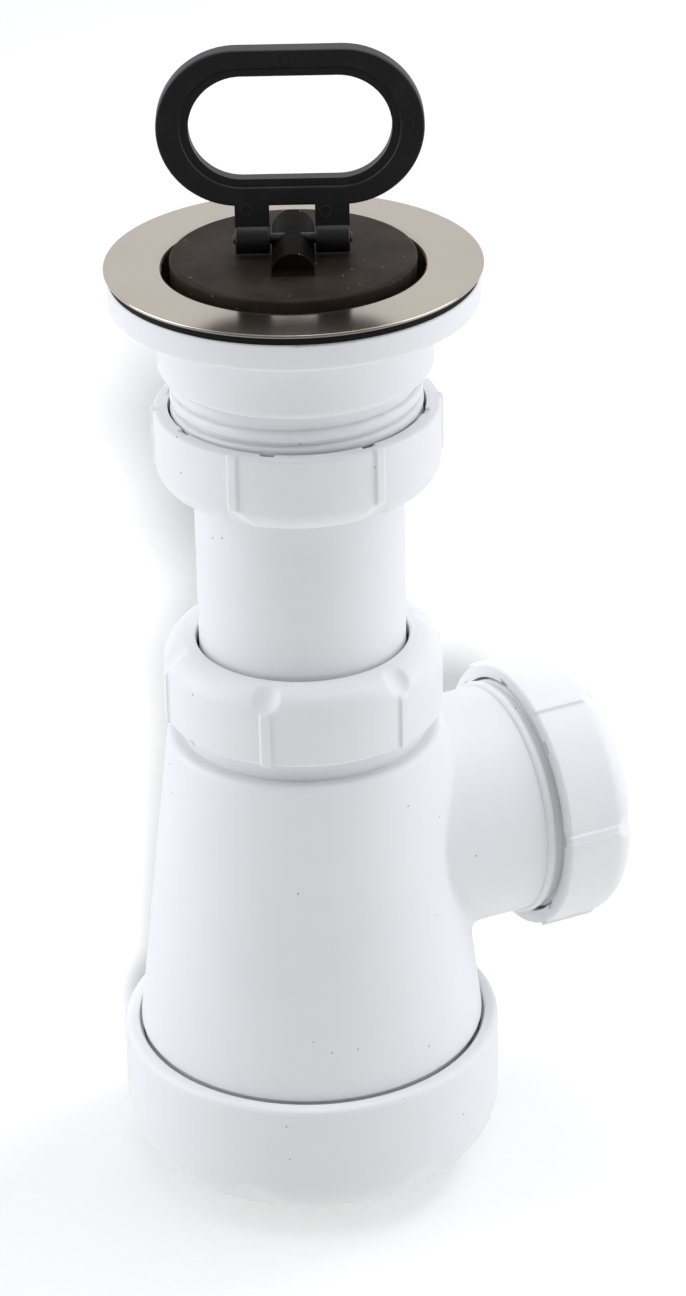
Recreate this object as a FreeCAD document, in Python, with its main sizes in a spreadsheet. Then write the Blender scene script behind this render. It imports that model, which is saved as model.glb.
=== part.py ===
import FreeCAD, Part
import math
import os

import Sketcher

# Sink trap: a bottle trap that hangs on its basket waste, standing on its cup.
# Heights are measured from the foot of the cup, radii from the upright axis,
# and the outlet leaves along +X.

doc = FreeCAD.newDocument("SinkTrap")

# Driving dimensions

SIZES = {
    # threads and the nuts that run on them
    "thread_depth": 0.9,
    "thread_root_radius": 22.9,
    "thread_play": 0.5,
    "nut_wall": 2.7,
    "nut_length": 15.3,
    "nut_lip": 2.8,
    "nut_lip_play": 0.6,
    "nut_shoulder_round": 4.8,
    "nut_rim_round": 0.6,
    "nut_rib_count": 6,
    "nut_rib_width": 1.9,
    "nut_rib_height": 0.5,
    "nut_rib_root": 1.2,
    "scoop_radius": 4.0,
    "scoop_depth": 1.1,
    "scoop_run": 19.2,
    "nut_rib_drop": 0.3,
    "nut_hole_round": 0.6,
    "recess_count": 8,
    "recess_turn": 16.8,
    "recess_width": 2.6,
    "recess_wall": 0.9,
    "recess_depth": 1.0,
    # inlet pipe
    "pipe_radius": 20.0,
    "pipe_wall": 1.8,
    "pipe_play": 0.35,
    "pipe_length": 96.8,
    "pipe_show": 33.1,
    "collar_play": 0.9,
    "pipe_collar_thickness": 2.6,
    "pipe_end_round": 0.6,
    # rubber seals
    "pressed_seal_play": 0.08,
    "slack_seal_play": 0.2,
    "seal_rim_thickness": 1.6,
    "seal_cone_length": 4.3,
    "seal_foot_gap": 1.0,
    "seal_side_gap": 0.1,
    "seat_mouth_wall": 0.9,
    "washer_thickness": 2.4,
    "washer_step": 0.3,
    "washer_bore_step": 0.2,
    # bottom cup
    "cup_radius": 37.7,
    "cup_height": 30.4,
    "cup_rim_round": 1.4,
    "cup_corner_round": 10.0,
    "cup_lip_width": 2.9,
    "cup_wall": 3.5,
    "cup_mouth_depth": 1.4,
    "cup_ledge_height": 15.4,
    "cup_floor_height": 3.2,
    "cup_ledge_width": 3.2,
    "cup_well_round": 6.0,
    "cup_foot_inset": 12.5,
    "cup_foot_height": 3.0,
    "cup_scoop_count": 6,
    "cup_scoop_radius": 24.0,
    "cup_scoop_depth": 1.3,
    "cup_scoop_run": 40.0,
    "cup_seal_thickness": 2.0,
    "cup_seal_width": 2.6,
    "cup_seal_gap": 0.4,
    "cup_foot_round": 0.5,
    "cup_lip_round": 0.5,
    # trap body
    "body_cup_gap": 1.0,
    "body_foot_inset": 0.4,
    "body_neck_inset": 1.4,
    "body_neck_length": 2.6,
    "body_skirt_play": 1.2,
    "body_skirt_wall": 1.8,
    "body_draft_wall": 3.4,
    "body_shoulder_rise": 4.8,
    "body_shoulder_width": 2.8,
    "body_shoulder_round": 1.6,
    "body_shoulder_wall": 2.3,
    "neck_collar_step": 1.1,
    "neck_collar_length": 4.0,
    "nut_stand_off": 0.6,
    "dip_tube_wall": 1.9,
    "dip_tube_foot_height": 13.6,
    # outlet
    "outlet_rise": 14.0,
    "outlet_step": 0.2,
    "outlet_blend": 2.2,
    "outlet_run": 7.2,
    "outlet_collar_step": 1.0,
    "outlet_collar_width": 1.8,
    "outlet_collar_round": 0.7,
    "outlet_nut_gap": 1.3,
    "outlet_socket_depth": 22.0,
    "outlet_bore_radius": 18.4,
    # basket waste
    "waste_thread_length": 14.8,
    "waste_wall": 3.5,
    "waste_neck_step": 2.85,
    "waste_neck_length": 13.4,
    "waste_neck_round": 1.6,
    "waste_flange_radius": 34.5,
    "waste_flange_thickness": 5.3,
    "waste_flange_round": 0.9,
    "waste_end_round": 0.4,
    "waste_bowl_play": 0.3,
    "waste_bowl_foot_play": 0.7,
    "waste_bowl_depth": 9.6,
    "boss_wall": 2.15,
    "boss_height": 12.0,
    "boss_lift": 10.2,
    "spoke_count": 4,
    "spoke_width": 2.4,
    "spoke_height": 9.0,
    "spoke_lift": 1.0,
    # gaskets and steel seat
    "gasket_inset": 0.2,
    "gasket_bore_step": 0.4,
    "gasket_thickness": 0.75,
    "steel_thickness": 0.7,
    "seat_overhang": 0.5,
    "seat_hole_radius": 24.6,
    "seat_bend": 1.2,
    "seat_taper": 2.6,
    "seat_depth": 8.0,
    "seat_corner_round": 1.6,
    "slot_count": 6,
    "slot_inner_radius": 10.0,
    "slot_margin": 4.0,
    "slot_width": 4.2,
    "slot_overcut": 0.5,
    # clamp screw and its insert
    "screw_radius": 3.0,
    "screw_length": 20.0,
    "screw_head_radius": 5.2,
    "screw_head_height": 2.4,
    "screw_head_round": 0.8,
    "screw_way_play": 0.4,
    "screw_slot_width": 1.2,
    "screw_slot_depth": 1.1,
    "insert_radius": 4.6,
    "insert_length": 9.0,
    "fixed_play": 0.05,
    # plug, pin and pull handle
    "plug_gap": 1.7,
    "plug_stand": 1.5,
    "plug_thickness": 7.0,
    "plug_edge_round": 0.7,
    "plug_foot_round": 0.3,
    "plug_skirt_width": 5.0,
    "plug_web": 3.2,
    "boss_half_width": 3.95,
    "boss_side": 0.35,
    "vault_length": 22.4,
    "pin_radius": 1.0,
    "pin_height": 3.0,
    "pin_end": 0.5,
    "knuckle_lift": 0.3,
    "lug_play": 0.25,
    "lug_width": 6.3,
    "ring_overhang": 3.0,
    "ring_height": 29.8,
    "ring_thickness": 3.6,
    "ring_band": 5.1,
    "ring_side_band": 5.9,
    "ring_lip_width": 1.4,
    "ring_lip_step": 0.5,
    "ring_lip_root": 0.7,
    "ring_rise": 7.0,
    "ring_edge_round": 0.5,
    "handle_play": 0.05,
    "handle_turn": -25.0,
    # turn of each moulding about its axis
    "top_nut_turn": 21.0,
    "middle_nut_turn": -10.5,
    "outlet_nut_turn": 30.0,
    "cup_turn": -16.0,
}

sheet = doc.addObject("Spreadsheet::Sheet", "Sizes")
for row, (alias, number) in enumerate(SIZES.items(), start=1):
    sheet.set(f"A{row}", alias)
    sheet.set(f"B{row}", str(number))
    sheet.setAlias(f"B{row}", alias)
doc.recompute()


class Length:
    """A length with its number and the sheet expression that gives it."""

    def __init__(self, number, text):
        self.number = number
        self.text = text

    def combine(self, other, sign, number):
        return Length(number, f"({self.text} {sign} {measure(other).text})")

    def __add__(self, other):
        return self.combine(other, "+", self.number + measure(other).number)

    def __sub__(self, other):
        return self.combine(other, "-", self.number - measure(other).number)

    def __mul__(self, other):
        return self.combine(other, "*", self.number * measure(other).number)

    def __truediv__(self, other):
        return self.combine(other, "/", self.number / measure(other).number)

    def __neg__(self):
        return measure(0) - self


def measure(value):
    if isinstance(value, Length):
        return value
    return Length(float(value), repr(float(value)))


def size(alias):
    return Length(float(sheet.get(alias)), f"Sizes.{alias}")


ZERO = measure(0)
FULL_TURN = 360.0
HALF_TURN = 180.0
RIGHT_ANGLE = 90.0
SLANT = math.sqrt(0.5)
LEVEL_SPREAD = 1e-6


def bind(item, name, length):
    item.setExpression(name, measure(length).text)


# Sketch helpers


def plane(body, role):
    return next(item for item in body.Origin.OriginFeatures if item.Role == role)


def new_body(label):
    body = doc.addObject("PartDesign::Body", label)
    body.Label = label
    return body


def new_sketch(body, name, role, along=None):
    """A sketch on one of the body's own planes, moved along the plane's normal."""
    sketch = body.newObject("Sketcher::SketchObject", name)
    sketch.AttachmentSupport = [(plane(body, role), "")]
    sketch.MapMode = "FlatFace"
    if along is not None:
        bind(sketch, ".AttachmentOffset.Base.z", along)
    return sketch


def constrain(sketch, length, *parts):
    index = sketch.addConstraint(Sketcher.Constraint(*parts, length.number))
    sketch.setExpression(f"Constraints[{index}]", length.text)


def place_point(sketch, geometry, which, across, up):
    """Ties one point of a sketch to its two coordinates."""
    if across.number == 0:
        sketch.addConstraint(Sketcher.Constraint("PointOnObject", geometry, which, -2))
    else:
        constrain(sketch, across, "DistanceX", -1, 1, geometry, which)
    if up.number == 0:
        sketch.addConstraint(Sketcher.Constraint("PointOnObject", geometry, which, -1))
    else:
        constrain(sketch, up, "DistanceY", -1, 1, geometry, which)


def corner_arc(before, corner, after, radius):
    """The rounding of a corner: its centre, its two tangent points and its side."""
    back = (before - corner).normalize()
    ahead = (after - corner).normalize()
    half = back.getAngle(ahead) / 2
    reach = radius / math.tan(half)
    start = corner + back * reach
    end = corner + ahead * reach
    middle = (back + ahead).normalize()
    centre = corner + middle * (radius / math.sin(half))
    turns_left = (corner - before).cross(after - corner).z > 0
    return centre, start, end, turns_left


def draw_outline(sketch, corners):
    """A closed outline of straight runs, each corner sharp or rounded by its radius."""
    fixed = [tuple(measure(value) for value in corner) for corner in corners]
    places = [FreeCAD.Vector(corner[0].number, corner[1].number, 0) for corner in fixed]
    count = len(fixed)
    starts = list(places)
    ends = list(places)
    arcs = {}
    for index, corner in enumerate(fixed):
        if len(corner) == 3:
            arc = corner_arc(places[index - 1], places[index], places[(index + 1) % count], corner[2].number)
            arcs[index] = arc
            ends[index] = arc[1]
            starts[index] = arc[2]
    lines = []
    for index in range(count):
        run = Part.LineSegment(starts[index], ends[(index + 1) % count])
        lines.append(sketch.addGeometry(run, False))
    for index, corner in enumerate(fixed):
        incoming = lines[index - 1]
        outgoing = lines[index]
        if index in arcs:
            centre, start, end, turns_left = arcs[index]
            first, last = (start, end) if turns_left else (end, start)
            circle = Part.Circle(centre, FreeCAD.Vector(0, 0, 1), corner[2].number)
            arc = Part.ArcOfCircle(circle, circle.parameter(first), circle.parameter(last))
            rounding = sketch.addGeometry(arc, False)
            near, far = (1, 2) if turns_left else (2, 1)
            sketch.addConstraint(Sketcher.Constraint("Tangent", incoming, 2, rounding, near))
            sketch.addConstraint(Sketcher.Constraint("Tangent", outgoing, 1, rounding, far))
            constrain(sketch, corner[2], "Radius", rounding)
            mark = sketch.addGeometry(Part.Point(places[index]), True)
            place_point(sketch, mark, 1, corner[0], corner[1])
            sketch.addConstraint(Sketcher.Constraint("PointOnObject", mark, 1, incoming))
            sketch.addConstraint(Sketcher.Constraint("PointOnObject", mark, 1, outgoing))
        else:
            sketch.addConstraint(Sketcher.Constraint("Coincident", incoming, 2, outgoing, 1))
            place_point(sketch, outgoing, 1, corner[0], corner[1])


def draw_circle(sketch, across, up, radius):
    centre = FreeCAD.Vector(across.number, up.number, 0)
    circle = sketch.addGeometry(Part.Circle(centre, FreeCAD.Vector(0, 0, 1), radius.number), False)
    place_point(sketch, circle, 3, across, up)
    constrain(sketch, radius, "Radius", circle)


def draw_box(sketch, left, right, low, high):
    draw_outline(sketch, [(left, low), (right, low), (right, high), (left, high)])


def tangent(sketch, first, first_end, second, second_end):
    sketch.addConstraint(Sketcher.Constraint("Tangent", first, first_end, second, second_end))


def draw_stadium(sketch, centre_height, width, height):
    """A level slot outline: two straight runs and two half rounds."""
    radius = height / 2
    reach = (width - height) / 2
    up = FreeCAD.Vector(0, 0, 1)
    ends = []
    for side, first in ((1, -RIGHT_ANGLE), (-1, RIGHT_ANGLE)):
        centre = FreeCAD.Vector(side * reach.number, centre_height.number, 0)
        circle = Part.Circle(centre, up, radius.number)
        span = math.radians(first), math.radians(first + HALF_TURN)
        arc = sketch.addGeometry(Part.ArcOfCircle(circle, *span), False)
        place_point(sketch, arc, 3, reach * side, centre_height)
        constrain(sketch, radius, "Radius", arc)
        ends.append(arc)
    for level, (first, last) in ((-1, (1, 0)), (1, (0, 1))):
        height_here = centre_height.number + level * radius.number
        start = FreeCAD.Vector(level * reach.number, height_here, 0)
        end = FreeCAD.Vector(-level * reach.number, height_here, 0)
        run = sketch.addGeometry(Part.LineSegment(start, end), False)
        tangent(sketch, ends[first], 2, run, 1)
        tangent(sketch, run, 2, ends[last], 1)


def draw_vault(sketch, foot, side_height, radius):
    """An upright outline with straight sides and a half round top."""
    right = FreeCAD.Vector(radius.number, side_height.number, 0)
    left = FreeCAD.Vector(-radius.number, side_height.number, 0)
    low_left = FreeCAD.Vector(-radius.number, foot.number, 0)
    low_right = FreeCAD.Vector(radius.number, foot.number, 0)
    circle = Part.Circle(FreeCAD.Vector(0, side_height.number, 0), FreeCAD.Vector(0, 0, 1), radius.number)
    top = sketch.addGeometry(Part.ArcOfCircle(circle, 0, math.pi), False)
    down = sketch.addGeometry(Part.LineSegment(left, low_left), False)
    base = sketch.addGeometry(Part.LineSegment(low_left, low_right), False)
    rise = sketch.addGeometry(Part.LineSegment(low_right, right), False)
    place_point(sketch, top, 3, ZERO, side_height)
    constrain(sketch, radius, "Radius", top)
    tangent(sketch, top, 2, down, 1)
    tangent(sketch, rise, 2, top, 1)
    sketch.addConstraint(Sketcher.Constraint("Coincident", down, 2, base, 1))
    sketch.addConstraint(Sketcher.Constraint("Coincident", base, 2, rise, 1))
    sketch.addConstraint(Sketcher.Constraint("Vertical", down))
    sketch.addConstraint(Sketcher.Constraint("Vertical", rise))
    sketch.addConstraint(Sketcher.Constraint("Horizontal", base))
    constrain(sketch, foot, "DistanceY", -1, 1, base, 1)


# Feature helpers


def revolve(body, name, corners, kind="PartDesign::Revolution"):
    """Turns an outline of radius and height about the body's upright axis."""
    sketch = new_sketch(body, f"{name}_outline", "XZ_Plane")
    draw_outline(sketch, corners)
    feature = body.newObject(kind, name)
    feature.Profile = sketch
    feature.ReferenceAxis = (sketch, ["V_Axis"])
    feature.Angle = FULL_TURN
    sketch.Visibility = False
    return feature


def revolve_level(body, name, axis_height, corners, kind="PartDesign::Revolution"):
    """Turns an outline of distance and radius about a level axis along X."""
    sketch = new_sketch(body, f"{name}_outline", "XZ_Plane")
    bind(sketch, ".AttachmentOffset.Base.y", axis_height)
    draw_outline(sketch, corners)
    feature = body.newObject(kind, name)
    feature.Profile = sketch
    feature.ReferenceAxis = (sketch, ["H_Axis"])
    feature.Angle = FULL_TURN
    sketch.Visibility = False
    return feature


def pad(body, name, sketch, length, both_sides=False):
    feature = body.newObject("PartDesign::Pad", name)
    feature.Profile = sketch
    if both_sides:
        feature.SideType = "Symmetric"
    bind(feature, "Length", length)
    return feature


def pocket(body, name, sketch, length, reverse=False, both_sides=False):
    """A pocket that has to take material away."""
    doc.recompute()
    before = body.Shape.Volume
    feature = body.newObject("PartDesign::Pocket", name)
    feature.Profile = sketch
    feature.Reversed = reverse
    if both_sides:
        feature.SideType = "Symmetric"
    bind(feature, "Length", length)
    doc.recompute()
    if not body.Shape.Volume < before:
        raise RuntimeError(f"{name} cuts nothing")
    return feature


def polar(body, name, originals, count):
    """Repeats features evenly about the body's upright axis."""
    pattern = body.newObject("PartDesign::PolarPattern", name)
    pattern.Originals = originals
    pattern.Axis = (plane(body, "Z_Axis"), [""])
    pattern.Angle = FULL_TURN
    pattern.setExpression("Occurrences", count.text)
    body.Tip = pattern
    return pattern


def fillet(body, name, edges, radius):
    """Rounds the named edges of the body as it stands."""
    base = body.Tip
    feature = body.newObject("PartDesign::Fillet", name)
    feature.Base = (base, edges)
    bind(feature, "Radius", radius)
    return feature


def scoop(body, name, radius, depth, run, corner_radius, corner_height, rounding, upward):
    """A finger hollow across a rounded corner: a round cut that runs along the corner's slope."""
    outward = (rounding + radius - depth) * SLANT
    sketch = new_sketch(body, f"{name}_outline", "XY_Plane")
    lean = FreeCAD.Rotation(FreeCAD.Vector(0, 1, 0), -upward * RIGHT_ANGLE / 2)
    sketch.AttachmentOffset = FreeCAD.Placement(FreeCAD.Vector(0, 0, 0), lean)
    bind(sketch, ".AttachmentOffset.Base.x", corner_radius - rounding + outward)
    bind(sketch, ".AttachmentOffset.Base.z", corner_height + (outward - rounding) * upward)
    draw_circle(sketch, ZERO, ZERO, radius)
    return pocket(body, name, sketch, run, both_sides=True)


def spin(degrees):
    return FreeCAD.Rotation(FreeCAD.Vector(0, 0, 1), degrees)


sub_parts = []


def finish(body, rotation=None, across=None, up=None):
    """Gives a sub-part its place in the trap."""
    doc.recompute()
    body.Placement = FreeCAD.Placement(FreeCAD.Vector(0, 0, 0), rotation or FreeCAD.Rotation())
    if across is not None:
        bind(body, ".Placement.Base.x", across)
    if up is not None:
        bind(body, ".Placement.Base.z", up)
    sub_parts.append(body)


# Sizes that several pieces share

thread_root = size("thread_root_radius")
thread_bore = thread_root + size("thread_depth") + size("thread_play")
collar_radius = thread_bore - size("collar_play")
mouth_radius = thread_root - size("seat_mouth_wall")
nut_length = size("nut_length")
nut_lip_face = nut_length - size("nut_lip")
neck_in_nut = nut_lip_face - size("seal_rim_thickness")
pipe_radius = size("pipe_radius")
guide_radius = pipe_radius + size("pipe_play")
seat_foot_depth = size("seal_cone_length")

# Radii of the cup and of the trap body that screws into it
cup_radius = size("cup_radius")
cup_mouth = cup_radius - size("cup_lip_width")
cup_bore = cup_radius - size("cup_wall")
foot_radius = cup_mouth - size("body_foot_inset")
skirt_radius = cup_bore - size("body_skirt_play")
neck_collar_radius = thread_root + size("neck_collar_step")
shoulder_radius = neck_collar_radius + size("body_shoulder_width")

# Heights of the trap body
skirt_foot = size("cup_ledge_height") + size("cup_seal_thickness")
body_foot = size("cup_height") + size("body_cup_gap")
outlet_radius = thread_root + size("outlet_step")
outlet_height = body_foot + size("outlet_rise") + outlet_radius
shoulder_height = outlet_height + outlet_radius + size("body_shoulder_rise")
ceiling = shoulder_height - size("body_shoulder_wall")
neck_collar_top = shoulder_height + size("neck_collar_length")
middle_nut_rim = neck_collar_top + size("nut_stand_off")
neck_end = middle_nut_rim + neck_in_nut

# Distances along the outlet
outlet_collar_start = foot_radius + size("outlet_run")
outlet_collar_end = outlet_collar_start + size("outlet_collar_width")
outlet_nut_rim = outlet_collar_end + size("outlet_nut_gap")
outlet_end = outlet_nut_rim + neck_in_nut

# Heights from the middle nut up to the foot of the waste
top_nut_end = middle_nut_rim + nut_length + size("pipe_show")
top_nut_rim = top_nut_end + nut_length
collar_foot = top_nut_end + size("nut_lip")
collar_top = collar_foot + size("pipe_collar_thickness")
washer_top = collar_top + size("washer_thickness")

# Heights of the waste, the seat and the plug
waste_thread_top = washer_top + size("waste_thread_length")
flange_foot = waste_thread_top + size("waste_neck_length")
waste_top = flange_foot + size("waste_flange_thickness")
upper_gasket_foot = waste_top + size("gasket_thickness")
steel_top = upper_gasket_foot + size("gasket_thickness") + size("steel_thickness")
seat_floor = steel_top - size("seat_depth")
plug_top = steel_top + size("plug_stand")

# Radii of the waste, the seat and the plug
waste_bore = thread_root - size("waste_wall")
flange_radius = size("waste_flange_radius")
gasket_radius = flange_radius - size("gasket_inset")
seat_hole = size("seat_hole_radius")
seat_foot = seat_hole - size("seat_taper")
steel = size("steel_thickness")
bowl_radius = seat_hole + steel + size("waste_bowl_play")
insert_pocket = size("insert_radius") + size("fixed_play")
screw_way = size("screw_radius") + size("screw_way_play")
plug_radius = seat_hole - size("plug_gap")
lug_gap = (size("boss_half_width") + size("lug_play")) * 2
handle_spin = spin(size("handle_turn").number)


# Nuts: a collar with six ribs and finger scoops, and eight marks inside its open rim


def nut(label, rotation, across=None, up=None):
    body = new_body(label)
    outer = thread_bore + size("nut_wall")
    shoulder = size("nut_shoulder_round")
    hole = pipe_radius + size("nut_lip_play")
    revolve(
        body,
        f"{label}_shell",
        [
            (thread_bore, 0),
            (outer, 0, size("nut_rim_round")),
            (outer, nut_length, shoulder),
            (hole, nut_length, size("nut_hole_round")),
            (hole, nut_lip_face),
            (thread_bore, nut_lip_face),
        ],
    )
    half_rib = size("nut_rib_width") / 2
    rib_outline = new_sketch(body, f"{label}_rib_outline", "XY_Plane", -size("nut_rib_drop"))
    rib_foot = outer - size("nut_rib_root")
    draw_box(rib_outline, rib_foot, outer + size("nut_rib_height"), -half_rib, half_rib)
    rib_length = size("nut_rib_drop") + nut_length - shoulder
    rib = pad(body, f"{label}_rib", rib_outline, rib_length)
    polar(body, f"{label}_ribs", [rib], size("nut_rib_count"))
    hollow = scoop(
        body,
        f"{label}_scoop",
        size("scoop_radius"),
        size("scoop_depth"),
        size("scoop_run"),
        outer,
        nut_length,
        shoulder,
        1,
    )
    polar(body, f"{label}_scoops", [hollow], size("nut_rib_count"))
    mark_outline = new_sketch(body, f"{label}_mark_outline", "XY_Plane")
    mark_outline.AttachmentOffset = FreeCAD.Placement(
        FreeCAD.Vector(0, 0, 0), spin(size("recess_turn").number)
    )
    half_mark = size("recess_width") / 2
    start = thread_bore - size("recess_wall")
    draw_box(mark_outline, start, thread_bore + size("recess_wall"), -half_mark, half_mark)
    mark = pocket(body, f"{label}_mark", mark_outline, size("recess_depth"), reverse=True)
    polar(body, f"{label}_marks", [mark], size("recess_count"))
    finish(body, rotation, across, up)


# Cone seals: a flat rim outside the mouth and a cone that the nut presses into it


def cone_seal(label, play, rotation=None, across=None, up=None):
    body = new_body(label)
    bore = pipe_radius + play
    cone = seat_foot_depth - size("seal_foot_gap")
    slope = (mouth_radius - guide_radius) / seat_foot_depth
    revolve(
        body,
        f"{label}_ring",
        [
            (bore, -cone),
            (mouth_radius - slope * cone - size("seal_side_gap"), -cone),
            (mouth_radius - size("seal_side_gap"), 0),
            (collar_radius, 0),
            (collar_radius, size("seal_rim_thickness")),
            (bore, size("seal_rim_thickness")),
        ],
    )
    finish(body, rotation, across, up)


over = FreeCAD.Rotation(FreeCAD.Vector(1, 0, 0), HALF_TURN)
outward = FreeCAD.Rotation(FreeCAD.Vector(0, 1, 0), RIGHT_ANGLE)
nut("top_nut", over * spin(size("top_nut_turn").number), up=top_nut_rim)
nut("middle_nut", spin(size("middle_nut_turn").number), up=middle_nut_rim)
nut("outlet_nut", outward * spin(size("outlet_nut_turn").number), outlet_nut_rim, outlet_height)
cone_seal("middle_cone_seal", size("pressed_seal_play"), up=neck_end)
cone_seal("outlet_cone_seal", size("slack_seal_play"), outward, outlet_end, outlet_height)


# Bottom cup: it screws on from below and the trap stands on its foot ring

cup = new_body("bottom_cup")
cup_height = size("cup_height")
mouth_foot = cup_height - size("cup_mouth_depth")
disc_radius = cup_radius - size("cup_foot_inset")
disc_height = size("cup_foot_height")
well_radius = cup_bore - size("cup_ledge_width")
revolve(
    cup,
    "cup_shell",
    [
        (0, 0),
        (disc_radius, 0, size("cup_foot_round")),
        (disc_radius, disc_height),
        (cup_radius, disc_height, size("cup_corner_round")),
        (cup_radius, cup_height, size("cup_rim_round")),
        (cup_mouth, cup_height, size("cup_lip_round")),
        (cup_mouth, mouth_foot),
        (cup_bore, mouth_foot - (cup_mouth - cup_bore)),
        (cup_bore, size("cup_ledge_height")),
        (well_radius, size("cup_ledge_height")),
        (well_radius, size("cup_floor_height"), size("cup_well_round")),
        (0, size("cup_floor_height")),
    ],
)
cup_scoop = scoop(
    cup,
    "cup_scoop",
    size("cup_scoop_radius"),
    size("cup_scoop_depth"),
    size("cup_scoop_run"),
    cup_radius,
    disc_height,
    size("cup_corner_round"),
    -1,
)
polar(cup, "cup_scoops", [cup_scoop], size("cup_scoop_count"))
finish(cup, spin(size("cup_turn").number))

cup_seal = new_body("cup_seal")
cup_seal_bore = cup_bore - size("cup_seal_gap") - size("cup_seal_width")
revolve(
    cup_seal,
    "cup_seal_ring",
    [
        (cup_seal_bore, 0),
        (cup_bore - size("cup_seal_gap"), 0),
        (cup_bore - size("cup_seal_gap"), size("cup_seal_thickness")),
        (cup_seal_bore, size("cup_seal_thickness")),
    ],
)
finish(cup_seal, up=size("cup_ledge_height"))


# Trap body: a cone moulded in one with its neck, its outlet and the dip tube inside

trap = new_body("trap_body")
neck_foot = body_foot - size("body_neck_length")
neck_radius = cup_mouth - size("body_neck_inset")
revolve(
    trap,
    "trap_form",
    [
        (0, skirt_foot),
        (skirt_radius, skirt_foot),
        (skirt_radius, neck_foot),
        (neck_radius, neck_foot),
        (neck_radius, body_foot),
        (foot_radius, body_foot),
        (shoulder_radius, shoulder_height, size("body_shoulder_round")),
        (neck_collar_radius, shoulder_height),
        (neck_collar_radius, neck_collar_top),
        (thread_root, neck_collar_top),
        (thread_root, neck_end),
        (0, neck_end),
    ],
)
outlet_root = shoulder_radius / 2
outlet_collar_radius = thread_root + size("outlet_collar_step")
revolve_level(
    trap,
    "outlet_form",
    outlet_height,
    [
        (outlet_root, 0),
        (outlet_end, 0),
        (outlet_end, thread_root),
        (outlet_collar_end, thread_root),
        (outlet_collar_end, outlet_collar_radius, size("outlet_collar_round")),
        (outlet_collar_start, outlet_collar_radius, size("outlet_collar_round")),
        (outlet_collar_start, outlet_radius),
        (outlet_root, outlet_radius),
    ],
)
doc.recompute()
# The only edge of the form that is neither straight nor round is where the outlet leaves the cone
joining_edges = [
    f"Edge{number}"
    for number, edge in enumerate(trap.Shape.Edges, start=1)
    if edge.Curve.TypeId == "Part::GeomBSplineCurve"
]
fillet(trap, "outlet_blend", joining_edges, size("outlet_blend"))
skirt_bore = skirt_radius - size("body_skirt_wall")
cavity_top_radius = shoulder_radius - size("body_shoulder_wall")
revolve(
    trap,
    "trap_cavity",
    [
        (0, skirt_foot),
        (skirt_bore, skirt_foot),
        (foot_radius - size("body_draft_wall"), body_foot),
        (cavity_top_radius, ceiling, size("body_shoulder_round")),
        (guide_radius, ceiling),
        (guide_radius, neck_end - seat_foot_depth),
        (mouth_radius, neck_end),
        (0, neck_end),
    ],
    "PartDesign::Groove",
)
socket_foot = outlet_end - size("outlet_socket_depth")
revolve_level(
    trap,
    "outlet_bore",
    outlet_height,
    [
        (0, 0),
        (outlet_end, 0),
        (outlet_end, mouth_radius),
        (outlet_end - seat_foot_depth, guide_radius),
        (socket_foot, guide_radius),
        (socket_foot, size("outlet_bore_radius")),
        (0, size("outlet_bore_radius")),
    ],
    "PartDesign::Groove",
)
dip_tube_radius = guide_radius + size("dip_tube_wall")
tube_root = ceiling + size("body_shoulder_wall") / 2
revolve(
    trap,
    "dip_tube",
    [
        (guide_radius, size("dip_tube_foot_height")),
        (dip_tube_radius, size("dip_tube_foot_height")),
        (dip_tube_radius, tube_root),
        (guide_radius, tube_root),
    ],
)
finish(trap)


# Inlet pipe, held in the neck by its seal and hung from the top nut by its collar

pipe = new_body("inlet_pipe")
pipe_bore = pipe_radius - size("pipe_wall")
pipe_foot = collar_top - size("pipe_length")
revolve(
    pipe,
    "pipe_wall",
    [
        (pipe_bore, pipe_foot),
        (pipe_radius, pipe_foot, size("pipe_end_round")),
        (pipe_radius, collar_foot),
        (collar_radius, collar_foot),
        (collar_radius, collar_top),
        (pipe_bore, collar_top),
    ],
)
finish(pipe)

washer = new_body("top_washer")
washer_bore = waste_bore + size("washer_bore_step")
washer_radius = thread_root + size("washer_step")
revolve(
    washer,
    "washer_ring",
    [
        (washer_bore, collar_top),
        (washer_radius, collar_top),
        (washer_radius, washer_top),
        (washer_bore, washer_top),
    ],
)
finish(washer)


# Waste body: the white moulding under the sink, with a boss on spokes for the clamp screw

waste = new_body("waste_body")
bowl_foot = waste_top - size("waste_bowl_depth")
bowl_foot_radius = seat_foot + steel + size("waste_bowl_foot_play")
waste_neck_radius = thread_root + size("waste_neck_step")
revolve(
    waste,
    "waste_shell",
    [
        (waste_bore, washer_top),
        (thread_root, washer_top, size("waste_end_round")),
        (thread_root, waste_thread_top),
        (waste_neck_radius, waste_thread_top, size("waste_neck_round")),
        (waste_neck_radius, flange_foot),
        (flange_radius, flange_foot, size("waste_flange_round")),
        (flange_radius, waste_top, size("waste_end_round")),
        (bowl_radius, waste_top),
        (bowl_foot_radius, bowl_foot, size("waste_neck_round")),
        (waste_bore, bowl_foot),
    ],
)
boss_foot = washer_top + size("boss_lift")
boss_top = boss_foot + size("boss_height")
boss_radius = insert_pocket + size("boss_wall")
insert_top = boss_foot + size("insert_length")
spoke_outline = new_sketch(waste, "spoke_outline", "XY_Plane", boss_foot + size("spoke_lift"))
half_spoke = size("spoke_width") / 2
spoke_start = (insert_pocket + boss_radius) / 2
draw_box(spoke_outline, spoke_start, (waste_bore + thread_root) / 2, -half_spoke, half_spoke)
spoke = pad(waste, "spoke", spoke_outline, size("spoke_height"))
polar(waste, "spokes", [spoke], size("spoke_count"))
revolve(
    waste,
    "boss",
    [
        (insert_pocket, boss_foot),
        (boss_radius, boss_foot),
        (boss_radius, boss_top),
        (screw_way, boss_top),
        (screw_way, insert_top),
        (insert_pocket, insert_top),
    ],
)
finish(waste, handle_spin)

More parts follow.
